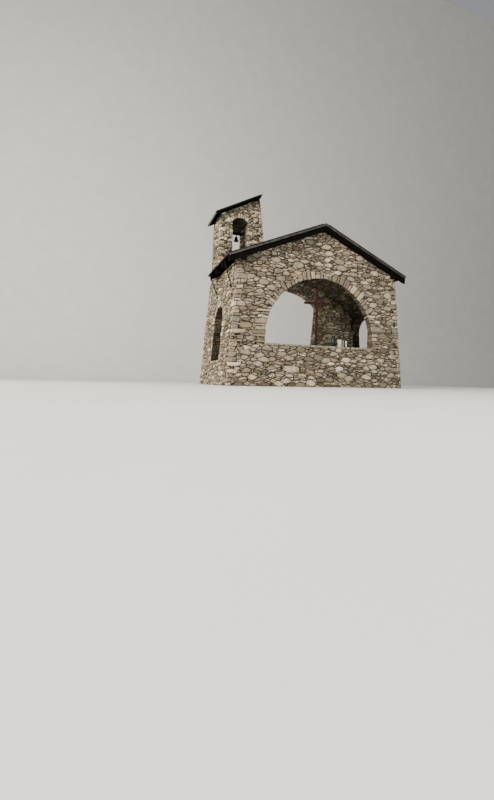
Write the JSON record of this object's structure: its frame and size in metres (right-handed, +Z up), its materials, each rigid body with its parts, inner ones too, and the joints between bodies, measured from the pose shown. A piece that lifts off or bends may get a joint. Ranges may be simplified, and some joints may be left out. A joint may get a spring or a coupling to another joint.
{
  "type": "roadside stone chapel",
  "caption": "Small open-fronted rubble-stone chapel with an arched front over a parapet, a barrel vault, a dark gable roof and a bell tower on a rear corner.",
  "frame": {"origin": "middle of the flat underside of the walls and floor, on the level ground", "axes": "+X to the viewer's right along the front, +Y from the arched front to the back, +Z up"},
  "size_m": [6.24, 3.689, 6.7748],
  "materials": {
    "floor_stone": "worn stone paving",
    "wall_stone": "rough rubble masonry, warm beige and grey",
    "coping_mortar": "smoothed pale mortar",
    "vault_stone": "rough dark rubble",
    "dark_timber": "dark stained, matt",
    "dark_boards": "dark stained, matt",
    "roof_metal": "dark brown painted sheet, satin",
    "verge_metal": "grey sheet, dull",
    "iron": "dark rusty paint",
    "tower_stone": "rough rubble masonry, warm beige and grey",
    "bell_bronze": "dark patina",
    "clapper_iron": "dull",
    "cross_paint": "rusty red-brown paint",
    "candle_wax": "smooth wax",
    "vase_glaze": "dark green glaze"
  },
  "bodies": {
    "chapel": {"floor_slab": "floor_stone", "front_left_pier": "wall_stone", "front_right_pier": "wall_stone", "front_gable": "wall_stone", "front_arch_ring": "wall_stone", "parapet_wall": "wall_stone", "parapet_coping": "coping_mortar", "left_side_wall": "wall_stone", "left_window_sill": "wall_stone", "left_window_head": "wall_stone", "right_side_wall": "wall_stone", "right_window_sill": "wall_stone", "right_window_head": "wall_stone", "left_rear_pier": "wall_stone", "right_rear_pier": "wall_stone", "rear_arch_wall": "wall_stone", "barrel_vault": "vault_stone", "left_wall_plate": "dark_timber", "right_wall_plate": "dark_timber", "ridge_purlin": "dark_timber", "left_rafters": "dark_timber", "right_rafters": "dark_timber", "left_roof_boards": "dark_boards", "right_roof_boards": "dark_boards", "left_roof_sheet": "roof_metal", "right_roof_sheet": "roof_metal", "ridge_cap": "roof_metal", "left_verge_strips": "verge_metal", "right_verge_strips": "verge_metal", "left_eave_ties": "iron", "right_eave_ties": "iron", "tower_base": "tower_stone", "tower_left_pier": "tower_stone", "tower_right_pier": "tower_stone", "tower_head": "tower_stone", "tower_roof_boards": "dark_boards", "tower_roof_sheet": "roof_metal", "tower_eave_trim": "verge_metal", "bell_beam": "dark_timber", "bell_hanger": "iron", "parapet_cross": "cross_paint", "votive_candles": "candle_wax", "flower_vase": "vase_glaze"},
    "bell": {"bell": "bell_bronze"},
    "clapper": {"clapper": "clapper_iron"}
  },
  "joints": [
    {"name": "bell_swing", "type": "hinge", "parent": "chapel", "child": "bell", "pos_m": [-1.9674, 1.1468, 5.44], "axis": [1, 0, 0], "range_deg": [-35, 35]},
    {"name": "clapper_swing", "type": "hinge", "parent": "bell", "child": "clapper", "pos_m": [-1.9674, 1.1468, 5.37], "axis": [1, 0, 0], "range_deg": [-25, 25]}
  ]
}
